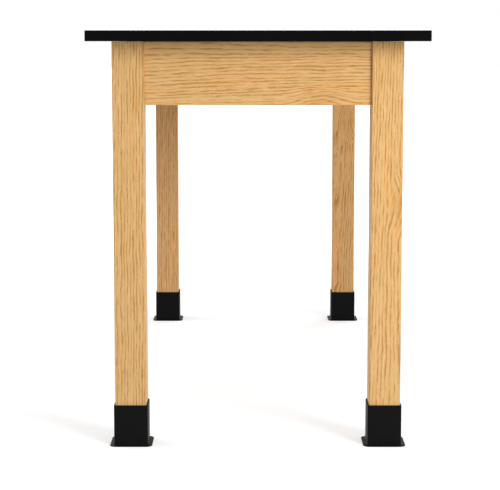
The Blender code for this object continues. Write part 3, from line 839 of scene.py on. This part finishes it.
def add_piece(name, mesh, place, body, slot, *replaced):
    """One piece of the scene: put in place, riding on its body, and standing for its nodes."""
    piece = new_object(name, mesh)
    piece.matrix_world = place
    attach(piece, body)
    if replaced:
        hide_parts(*replaced)


def middle_of(node):
    """The middle of a node's box."""
    low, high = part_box(node)
    return (low + high) / 2


def foot_place(corner):
    """The floor under one leg's axis."""
    middle = middle_of(corner + "_leveler_pad")
    return Matrix.Translation((middle.x, middle.y, 0))


def corner_place(corner):
    """The frame of one corner: its origin where the aprons' inner faces cross, +X and +Y inwards."""
    x_sign, y_sign = CORNERS[corner]
    inner_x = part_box("right_side_apron")[0].x
    inner_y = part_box("rear_end_apron")[0].y
    turn = Matrix.Rotation(math.atan2(-y_sign, -x_sign) - math.pi / 4, 4, "Z")
    return Matrix.Translation((x_sign * inner_x, y_sign * inner_y, 0)) @ turn


def square_row(half, radius, height, steps):
    """Points round a level square with round corners."""
    row = []
    for quarter in range(4):
        centre_x = (half - radius) * (1 if quarter in (0, 3) else -1)
        centre_y = (half - radius) * (1 if quarter in (0, 1) else -1)
        for step in range(steps + 1):
            angle = (quarter + step / steps) * math.pi / 2
            x = centre_x + radius * math.cos(angle)
            y = centre_y + radius * math.sin(angle)
            row.append((x, y, height))
    return row


def quarter_turn(steps):
    """The sine and cosine of each step round a quarter of a circle."""
    angles = [step / steps * math.pi / 2 for step in range(steps + 1)]
    return [(math.sin(angle), math.cos(angle)) for angle in angles]


def quarter_round(half, corner_radius, height, across, up, steps):
    """Sections round a quarter of a circle, from (half, height + up) to (half + across, height)."""
    sections = []
    for sine, cosine in quarter_turn(steps):
        out = across * (1 - cosine)
        sections.append((half + out, corner_radius + out, height + up * (1 - sine)))
    return sections


def boot_mesh(corner, boots, material):
    """A boot's loft: flange, cove, wall and rim outside, and the leg's shape inside."""
    low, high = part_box(corner + "_boot")
    flange = (high.x - low.x) / 2
    leg_low, leg_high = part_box(corner + "_leg")
    inner = (leg_high.x - leg_low.x) / 2 + FIT_GAP
    inner_radius = 0.0018
    outer = inner + boots.wall
    outer_radius = inner_radius + boots.wall
    flange_radius = outer_radius + flange - outer
    deck = boots.flange_thickness
    edge, cove, rim = boots.edge_radius, boots.cove_radius, boots.rim_radius
    lip = rim / 2
    sole = 0.0003
    sections = [(flange - sole, flange_radius - sole, 0.0), (flange, flange_radius, sole)]
    sections += quarter_round(flange, flange_radius, deck, -edge, -edge, EDGE_STEPS)
    sections += reversed(quarter_round(outer, outer_radius, deck, cove, cove, EDGE_STEPS * 2))
    sections += quarter_round(outer, outer_radius, high.z, -rim, -rim, EDGE_STEPS)
    sections += reversed(quarter_round(inner, inner_radius, high.z, lip, -lip, EDGE_STEPS))
    sections.append((inner, inner_radius, sole))
    sections.append((inner + sole, inner_radius + sole, 0.0))
    rows = [square_row(half, radius, z, boots.corner_steps) for half, radius, z in sections]
    return lofted("boot", rows, material, closed=True)


def screw_mesh(name, head_radius, head_height, shank_radius, length, pitch, depth, tip, material):
    """A pan-head screw with a cross recess. Its shank runs up Z from under the head at Z = 0."""
    rings = [(0.0, -head_height)]
    for sine, cosine in reversed(quarter_turn(EDGE_STEPS * 2)):
        rings.append((head_radius * cosine ** 0.6, -head_height * (0.35 + 0.65 * sine)))
    rings += [(head_radius, 0.0), (shank_radius, 0.0)]
    rings += thread_rings(0.001, length - tip, shank_radius, pitch, depth)
    point = shank_radius - depth if tip < shank_radius else 0.0
    rings += [(point, length), (0.0, length)]
    screw = new_object(name, turned(name, rings, material, sides=24))

    # The cross is cut with a tapering plug of twelve sides.
    arm, web = head_radius * 0.52, head_radius * 0.13
    cross = [(arm, -web), (arm, web), (web, web), (web, arm), (-web, arm), (-web, web)]
    cross += [(-x, -y) for x, y in cross]
    levels = [(1.0, -head_height * 1.2), (0.35, -head_height * 0.25)]
    rows = [[(x * share, y * share, z) for x, y in cross] for share, z in levels]
    plug = new_object("cross_plug", lofted("cross_plug", rows, material, capped=True))
    return cut_mesh(screw, plug)


def cut_mesh(piece, *cutters, bevel=0.0):
    """The mesh of a piece cut by others, with its sharp edges eased if asked. Removes them all."""
    for cutter in cutters:
        boolean = piece.modifiers.new(cutter.name, "BOOLEAN")
        boolean.operation = "DIFFERENCE"
        boolean.solver = "EXACT"
        boolean.object = cutter
    if bevel:
        easing = piece.modifiers.new("Easing", "BEVEL")
        easing.width = bevel
        easing.segments = 2
        easing.limit_method = "ANGLE"
        easing.angle_limit = math.radians(40)
    graph = bpy.context.evaluated_depsgraph_get()
    mesh = bpy.data.meshes.new_from_object(piece.evaluated_get(graph))
    mesh.set_sharp_from_angle(angle=SMOOTH_ANGLE)

    # The large flat faces rule the shading, so the narrow eased ones don't streak them.
    piece.modifiers.clear()
    piece.data = mesh
    weighted = piece.modifiers.new("Even Shading", "WEIGHTED_NORMAL")
    weighted.keep_sharp = True
    graph = bpy.context.evaluated_depsgraph_get()
    mesh = bpy.data.meshes.new_from_object(piece.evaluated_get(graph))
    mesh.name = piece.name
    for thing in (piece, *cutters):
        bpy.data.objects.remove(thing, do_unlink=True)
    return mesh


def rounded_path(points, radii, steps):
    """A line through points in a plane, with an arc of the given radius at each inner one."""
    path = [Vector(points[0])]
    for before, here, after, radius in zip(points, points[1:], points[2:], radii):
        here = Vector(here)
        arriving = (here - Vector(before)).normalized()
        leaving = (Vector(after) - here).normalized()
        turn = arriving.angle_signed(leaving)
        reach = radius * math.tan(abs(turn) / 2)
        side = math.copysign(1.0, turn)
        start = here - arriving * reach
        # angle_signed is clockwise, so a positive turn bends to the right.
        centre = start + Vector((arriving.y, -arriving.x)) * side * radius
        for step in range(steps + 1):
            spin = Matrix.Rotation(-turn * step / steps, 2)
            path.append(centre + spin @ (start - centre))
    path.append(Vector(points[-1]))
    return path


class LABTABLE_OT_slab(bpy.types.Operator):
    """Give the top its black resin"""

    bl_idname = "labtable.slab"
    bl_label = "Slab"

    def execute(self, context):
        dress("table_top", slab_material(context.scene.labtable_slab))
        return {"FINISHED"}


class LABTABLE_OT_oak_frame(bpy.types.Operator):
    """Give the legs, aprons and rail their oak"""

    bl_idname = "labtable.oak_frame"
    bl_label = "Oak Frame"

    def execute(self, context):
        for node, board in BOARDS.items():
            dress(node, oak_material(node, board, context.scene.labtable_oak))
        return {"FINISHED"}


class LABTABLE_OT_cleats(bpy.types.Operator):
    """Give the cleats their bare hardwood"""

    bl_idname = "labtable.cleats"
    bl_label = "Cleats"

    def execute(self, context):
        for name in CLEAT_NAMES:
            node = name + "_cleat"
            dress(node, cleat_material(node, context.scene.labtable_oak))
        return {"FINISHED"}


class LABTABLE_OT_corner_brackets(bpy.types.Operator):
    """Bend the corner brackets and drive their screws into the aprons"""

    bl_idname = "labtable.corner_brackets"
    bl_label = "Corner Brackets"

    def execute(self, context):
        hardware = context.scene.labtable_hardware
        steel = metal_material("plated_strip", hardware.steel, roughness=0.36, dulling=0.8)
        zinc = metal_material("screw_plate", hardware.zinc, roughness=0.3, dulling=0.5)
        thickness = hardware.strip_thickness
        low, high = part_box("rear_right_corner_bracket")
        apron_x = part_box("right_side_apron")[0].x
        middle_z = (low.z + high.z) / 2
        reach = apron_x - low.x - thickness / 2
        lip = high.x - apron_x
        tab = FIT_GAP + thickness / 2
        web = reach - hardware.tab_length
        seat = web + hardware.tab_length * 0.5
        bracket = self.bracket(steel, thickness, high.z - low.z, reach, lip, tab, web, seat)
        screw = screw_mesh(
            "bracket_screw",
            head_radius=hardware.screw_head_radius,
            head_height=hardware.screw_head_radius * 0.6,
            shank_radius=0.002,
            length=hardware.screw_length,
            pitch=0.0016,
            depth=0.0006,
            tip=0.004,
            material=zinc,
        )
        clearance = 0.0001
        face = tab + thickness / 2 + clearance
        spots = []
        for height in SCREW_HEIGHTS:
            spots.append(Matrix.Translation((seat, face, height)) @ aim(Vector((0, -1, 0))))
            spots.append(Matrix.Translation((face, seat, height)) @ aim(Vector((-1, 0, 0))))
        for corner in CORNERS:
            place = corner_place(corner) @ Matrix.Translation((0, 0, middle_z))
            node = corner + "_corner_bracket"
            add_piece(node + "_bent", bracket, place, "frame", "steel", node)
            for count, spot in enumerate(spots, 1):
                name = f"{corner}_bracket_screw_{count}"
                add_piece(name, screw, place @ spot, "frame", "zinc")
        return {"FINISHED"}

    def bracket(self, material, thickness, height, reach, lip, tab, web, seat):
        """The bent strip in a corner's frame, with its holes for the bolt and the screws."""
        half = [(reach, -lip), (reach, tab), (web, tab)]
        points = half + [(y, x) for x, y in reversed(half)]
        radii = (0.0016, 0.003, 0.003, 0.0016)
        path = rounded_path(points, radii, EDGE_STEPS)
        shape = bmesh.new()
        lower = [shape.verts.new((*point, -height / 2)) for point in path]
        upper = [shape.verts.new((*point, height / 2)) for point in path]
        for n in range(len(path) - 1):
            shape.faces.new((lower[n], lower[n + 1], upper[n + 1], upper[n]))
        strip = new_object("corner_bracket", finished_mesh(shape, "corner_bracket", material))
        solid = strip.modifiers.new("Thickness", "SOLIDIFY")
        solid.thickness = thickness
        solid.offset = 0.0
        solid.use_even_offset = True
        shape = bmesh.new()
        diagonal = Vector((1, 1, 0)).normalized()
        crossing = Vector(((web + tab) / 2, (web + tab) / 2, 0))
        screw_hole = 0.0023
        rods = [(crossing, diagonal, BORE_RADIUS)]
        for z in SCREW_HEIGHTS:
            rods.append((Vector((seat, tab, z)), Vector((0, 1, 0)), screw_hole))
            rods.append((Vector((tab, seat, z)), Vector((1, 0, 0)), screw_hole))
        for centre, along, radius in rods:
            bmesh.ops.create_cone(
                shape,
                cap_ends=True,
                segments=32,
                radius1=radius,
                radius2=radius,
                depth=thickness * 4,
                matrix=Matrix.Translation(centre) @ aim(along),
            )
        holes = new_object("bracket_holes", finished_mesh(shape, "bracket_holes", material))
        return cut_mesh(strip, holes, bevel=0.0003)


class LABTABLE_OT_hanger_bolts(bpy.types.Operator):
    """Thread the hanger bolts, and finish their washers and nuts"""

    bl_idname = "labtable.hanger_bolts"
    bl_label = "Hanger Bolts"

    def execute(self, context):
        hardware = context.scene.labtable_hardware
        zinc = metal_material("bolt_plate", hardware.zinc, roughness=0.28, dulling=0.4)
        radius = hardware.bolt_radius
        length, point, bite, plain, chamfer = 0.0762, 0.006, 0.04, 0.004, 0.0008
        rings = [(0.0, 0.0)]
        rings += thread_rings(point, bite, radius, hardware.wood_pitch, hardware.wood_thread_depth)
        rings += machine_thread(bite + plain, length - chamfer, hardware)
        rings += [(radius - chamfer, length), (0.0, length)]
        bolt = turned("hanger_bolt", rings, zinc, sides=24)
        washer = self.washer(zinc)
        nut = self.nut(zinc)
        for corner, (x_sign, y_sign) in CORNERS.items():
            inwards = Vector((-x_sign, -y_sign, 0)).normalized()
            turn = aim(inwards)
            for kind, mesh in (("washer", washer), ("nut", nut)):
                node = f"{corner}_{kind}"
                place = Matrix.Translation(middle_of(node)) @ turn
                add_piece(node + "_finished", mesh, place, "frame", "zinc", node)
            node = corner + "_hanger_bolt"
            start = middle_of(node) - inwards * self.half_reach(node, inwards)
            place = Matrix.Translation(start) @ turn
            add_piece(node + "_threaded", bolt, place, "frame", "zinc", node)
        return {"FINISHED"}

    def half_reach(self, node, along):
        """Half of a node's length along a direction."""
        reaches = [vertex.co.dot(along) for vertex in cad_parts[node].data.vertices]
        middle = middle_of(node).dot(along)
        return middle - min(reaches)

    def washer(self, material):
        """A flat washer with softened edges."""
        outer, inner, half, soft = 0.011, BORE_RADIUS, 0.0008, 0.0003
        outline = [
            (outer - soft, -half),
            (outer, soft - half),
            (outer, half - soft),
            (outer - soft, half),
            (inner + soft, half),
            (inner, half - soft),
            (inner, soft - half),
            (inner + soft, -half),
        ]
        return turned("washer", outline, material, closed=True)

    def nut(self, material):
        """A hexagon nut with chamfered corners and a countersunk bore."""
        flat, half, sink = 0.00635, 0.00335, 0.0005
        rings = hexagon_rings(flat, half, BORE_RADIUS + sink)
        rings += [(BORE_RADIUS, half - sink), (BORE_RADIUS, sink - half)]
        return turned("nut", rings, material, closed=True)


class LABTABLE_OT_top_fasteners(bpy.types.Operator):
    """Finish the screws that hold the top and the inserts that they enter"""

    bl_idname = "labtable.top_fasteners"
    bl_label = "Top Fasteners"

    def execute(self, context):
        hardware = context.scene.labtable_hardware
        zinc = metal_material("top_screw_plate", hardware.zinc, roughness=0.3, dulling=0.5)
        brass = metal_material("turned_brass", hardware.brass, roughness=0.26, dulling=0.6)
        low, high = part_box("front_end_top_screw")
        head = (high.x - low.x) / 2
        head_height = 0.003
        length = high.z - low.z - head_height
        screw = screw_mesh(
            "top_screw",
            head_radius=head,
            head_height=head_height,
            shank_radius=0.0024,
            length=length,
            pitch=0.00106,
            depth=0.00045,
            tip=0.0006,
            material=zinc,
        )
        insert = self.insert(brass)
        for name in CLEAT_NAMES:
            node = name + "_top_screw"
            middle = middle_of(node)
            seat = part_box(node)[0].z + head_height
            place = Matrix.Translation((middle.x, middle.y, seat))
            add_piece(node + "_threaded", screw, place, "frame", "zinc", node)
            node = name + "_top_insert"
            place = Matrix.Translation((middle.x, middle.y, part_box(node)[0].z))
            add_piece(node + "_knurled", insert, place, "frame", "brass", node)
        return {"FINISHED"}

    def insert(self, material):
        """A brass tube with two knurled bands and a groove between them."""
        outer, bore, length, ridges, half_depth = 0.00394, 0.0027, 0.0095, 24, 0.00018

        def knurl(height):
            return lambda angle: (outer - half_depth * (1 - math.cos(angle * ridges)), height)

        rings = [
            (outer - 0.0005, 0.0),
            knurl(0.0004),
            knurl(0.0038),
            (outer - 0.0006, 0.0042),
            (outer - 0.0006, 0.0053),
            knurl(0.0057),
            knurl(length - 0.0004),
            (outer - 0.0005, length),
            (bore + 0.0003, length),
            (bore, length - 0.0003),
            (bore, 0.0003),
            (bore + 0.0003, 0.0),
        ]
        return turned("top_insert", rings, material, sides=96, closed=True)


class LABTABLE_OT_levelers(bpy.types.Operator):
    """Thread the leveler stems, and finish their pads and sleeves"""

    bl_idname = "labtable.levelers"
    bl_label = "Levelers"

    def execute(self, context):
        hardware = context.scene.labtable_hardware
        boots = context.scene.labtable_boots
        zinc = metal_material("leveler_plate", hardware.zinc, roughness=0.28, dulling=0.5)
        nylon = moulded_material("dark_nylon", boots.pad_colour, boots)
        pad_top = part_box("front_left_leveler_pad")[1].z
        stem_low, stem_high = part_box("front_left_leveler_stem")
        sleeve_low, sleeve_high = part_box("front_left_leveler_sleeve")
        kinds = {
            "stem": self.stem(hardware, zinc, pad_top + FIT_GAP, stem_low.z, stem_high.z),
            "sleeve": self.sleeve(zinc, sleeve_low.z, sleeve_high.z),
            "pad": self.pad(nylon, pad_top),
        }
        for corner in CORNERS:
            place = foot_place(corner)
            for kind, mesh in kinds.items():
                node = f"{corner}_leveler_{kind}"
                body = "frame" if kind == "sleeve" else f"{corner}_{kind}"
                slot = "pad" if kind == "pad" else "zinc"
                add_piece(node + "_finished", mesh, place, body, slot, node)
        return {"FINISHED"}

    def stem(self, hardware, material, hexagon_low, low, high):
        """A threaded stem with a chamfered hexagon and a foot that turns in the pad."""
        foot, neck, flat, half, soft = 0.00495, 0.0034, 0.00715, 0.003, 0.0004
        top = hexagon_low + 2 * half
        rings = [(0.0, low), (foot - soft, low), (foot, low + soft)]
        rings += raised(hexagon_rings(flat, half, foot), hexagon_low + half)
        rings += [(neck, top), (neck, top + 0.0012)]
        rings += machine_thread(top + 0.0016, high - 0.001, hardware)
        rings += [(hardware.bolt_radius - 0.001, high), (0.0, high)]
        return turned("leveler_stem", rings, material, sides=24)

    def sleeve(self, material, low, high):
        """A flanged sleeve with barbs that grip the leg's bore."""
        bore, tube, flange, plate = BORE_RADIUS, 0.00555, 0.0111, 0.0015
        soft, root, barbs = 0.0004, tube - 0.0006, 5
        outline = [(bore + soft, low), (flange - soft, low), (flange, low + soft)]
        outline += [(flange, low + plate), (root, low + plate)]
        step = (high - low - plate - 0.002) / barbs
        for n in range(barbs):
            start = low + plate + 0.001 + n * step
            outline += [(tube, start), (root, start + step)]
        outline += [(bore + soft, high), (bore, high - soft), (bore, low + soft)]
        return turned("leveler_sleeve", outline, material, closed=True)

    def pad(self, material, top):
        """A nylon pad: a rounded rim, a sloping shoulder and a hub with the stem's socket."""
        rim, hub, socket, floor = 0.015875, 0.00875, 0.00525, 0.004
        outline = [(0.0, floor), (socket, floor), (socket, top - 0.0004), (socket + 0.0004, top)]
        outline += [(hub - 0.0008, top), (hub - 0.0002, top - 0.0003), (hub, top - 0.0009)]
        outline += [(hub + 0.0004, top - 0.0022), (rim - 0.0014, 0.0034), (rim - 0.0004, 0.0029)]
        outline += [(rim, 0.0021), (rim, 0.0006), (rim - 0.0006, 0.0), (0.0, 0.0)]
        return turned("leveler_pad", outline, material, sides=64)


class LABTABLE_OT_boots(bpy.types.Operator):
    """Mould the boots round the feet"""

    bl_idname = "labtable.boots"
    bl_label = "Boots"

    def execute(self, context):
        boots = context.scene.labtable_boots
        vinyl = moulded_material("black_vinyl", boots.colour, boots)
        for corner in CORNERS:
            mesh = boot_mesh(corner, boots, vinyl)
            node = corner + "_boot"
            add_piece(node + "_moulded", mesh, foot_place(corner), node, "moulding", node)
        return {"FINISHED"}


class LABTABLE_OT_stage(bpy.types.Operator):
    """Set the camera, the white surroundings, the floor and the lamps"""

    bl_idname = "labtable.stage"
    bl_label = "Stage"

    def execute(self, context):
        stage = context.scene.labtable_stage
        context.scene.view_settings.view_transform = "Standard"
        self.camera(stage)
        self.surroundings(stage)
        self.floor()
        key = self.lamp("key_lamp", stage.key_place, stage.key_size, stage.key_power)
        rear = self.lamp("rear_lamp", REAR_LAMP_PLACE, LARGE_LAMP_SIZE, stage.rear_power)
        # Mirrored in the slab, either of these would burn the top's outline out.
        for lamp in (key, rear):
            lamp.visible_glossy = False
        self.lamp("fill_lamp", FILL_LAMP_PLACE, LARGE_LAMP_SIZE, stage.fill_power)
        return {"FINISHED"}

    def camera(self, stage):
        """The camera at the photograph's place and angle."""
        data = bpy.data.cameras.new("camera")
        data.lens = stage.focal_length
        data.sensor_width = 36.0
        camera = new_object("camera", data)
        camera.location = stage.camera_place
        camera.rotation_euler = (math.pi / 2 - stage.camera_pitch, 0, 0)
        bpy.context.scene.camera = camera

    def seen(self, tree):
        """1 where a surface or the surroundings are seen directly, mirrored or through glass."""
        rays = tree.nodes.new("ShaderNodeLightPath").outputs
        shown = maths(tree, "MAXIMUM", rays["Is Camera Ray"], rays["Is Glossy Ray"])
        return maths(tree, "MAXIMUM", shown, rays["Is Transmission Ray"])

    def surroundings(self, stage):
        """White surroundings that are dimmer as a light than they look."""
        world = bpy.data.worlds.new("white_surroundings")
        bpy.context.scene.world = world
        world.use_nodes = True
        tree = world.node_tree
        background = tree.nodes["Background"]
        background.inputs["Color"].default_value = (1.0, 1.0, 1.0, 1.0)
        dim = 1.0 - stage.surroundings
        strength = maths(tree, "MULTIPLY_ADD", self.seen(tree), dim, stage.surroundings)
        feed(tree, background.inputs["Strength"], strength)

    def floor(self):
        """A wide pale floor that keeps the table's shadow."""
        shape = bmesh.new()
        bmesh.ops.create_grid(shape, x_segments=8, y_segments=8, size=FLOOR_REACH)
        material = bpy.data.materials.new("pale_floor")
        material.use_nodes = True
        tree = material.node_tree
        shader = tree.nodes["Principled BSDF"].inputs
        shader["Roughness"].default_value = 0.9
        shader["Specular IOR Level"].default_value = 0.0
        shader["Base Color"].default_value = (0.86, 0.86, 0.86, 1.0)
        shader["Emission Color"].default_value = (1.0, 1.0, 1.0, 1.0)
        # Its glow rises away from the table, so that it meets the white surroundings with no line.
        place = tree.nodes.new("ShaderNodeNewGeometry").outputs["Position"]
        distance = vector_maths(tree, "LENGTH", place, number=True)
        glow = smooth_step(tree, distance, GLOW_START, GLOW_END, NEAR_GLOW, 1.0)
        feed(tree, shader["Emission Strength"], maths(tree, "MULTIPLY", self.seen(tree), glow))
        floor = new_object("floor", finished_mesh(shape, "floor", material))
        floor.location.z = -FLOOR_DROP

    def lamp(self, name, place, size, power):
        """A square soft lamp that faces the table."""
        data = bpy.data.lights.new(name, "AREA")
        data.shape = "SQUARE"
        data.size = size
        data.energy = power
        lamp = new_object(name, data)
        lamp.location = place
        lamp.rotation_mode = "QUATERNION"
        facing = Vector(LAMP_TARGET) - Vector(place)
        lamp.rotation_quaternion = facing.to_track_quat("-Z", "Y")
        return lamp


OPERATORS = (
    LABTABLE_OT_slab,
    LABTABLE_OT_oak_frame,
    LABTABLE_OT_cleats,
    LABTABLE_OT_corner_brackets,
    LABTABLE_OT_hanger_bolts,
    LABTABLE_OT_top_fasteners,
    LABTABLE_OT_levelers,
    LABTABLE_OT_boots,
    LABTABLE_OT_stage,
)

SETTINGS = {
    "labtable_oak": LABTABLE_PG_oak,
    "labtable_slab": LABTABLE_PG_slab,
    "labtable_boots": LABTABLE_PG_boots,
    "labtable_hardware": LABTABLE_PG_hardware,
    "labtable_stage": LABTABLE_PG_stage,
}


class LABTABLE_PT_finish(bpy.types.Panel):
    """The table's settings and operators"""

    bl_label = "Lab Table"
    bl_idname = "LABTABLE_PT_finish"
    bl_space_type = "VIEW_3D"
    bl_region_type = "UI"
    bl_category = "Lab Table"

    def draw(self, context):
        for name, group in SETTINGS.items():
            box = self.layout.box()
            settings = getattr(context.scene, name)
            for setting in group.__annotations__:
                box.prop(settings, setting)
        for operator in OPERATORS:
            self.layout.operator(operator.bl_idname)


def register():
    """Registers the classes and puts the settings on the scene."""
    for name, group in SETTINGS.items():
        bpy.utils.register_class(group)
        setattr(bpy.types.Scene, name, PointerProperty(type=group))
    for operator in OPERATORS:
        bpy.utils.register_class(operator)
    bpy.utils.register_class(LABTABLE_PT_finish)


def unregister():
    """Takes the settings off the scene and unregisters the classes."""
    bpy.utils.unregister_class(LABTABLE_PT_finish)
    for operator in reversed(OPERATORS):
        bpy.utils.unregister_class(operator)
    for name, group in SETTINGS.items():
        delattr(bpy.types.Scene, name)
        bpy.utils.unregister_class(group)


def main():
    """Finishes every piece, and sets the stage."""
    register()
    bpy.ops.labtable.slab()
    bpy.ops.labtable.oak_frame()
    bpy.ops.labtable.cleats()
    bpy.ops.labtable.corner_brackets()
    bpy.ops.labtable.hanger_bolts()
    bpy.ops.labtable.top_fasteners()
    bpy.ops.labtable.levelers()
    bpy.ops.labtable.boots()
    bpy.ops.labtable.stage()


if __name__ == "__main__":
    main()
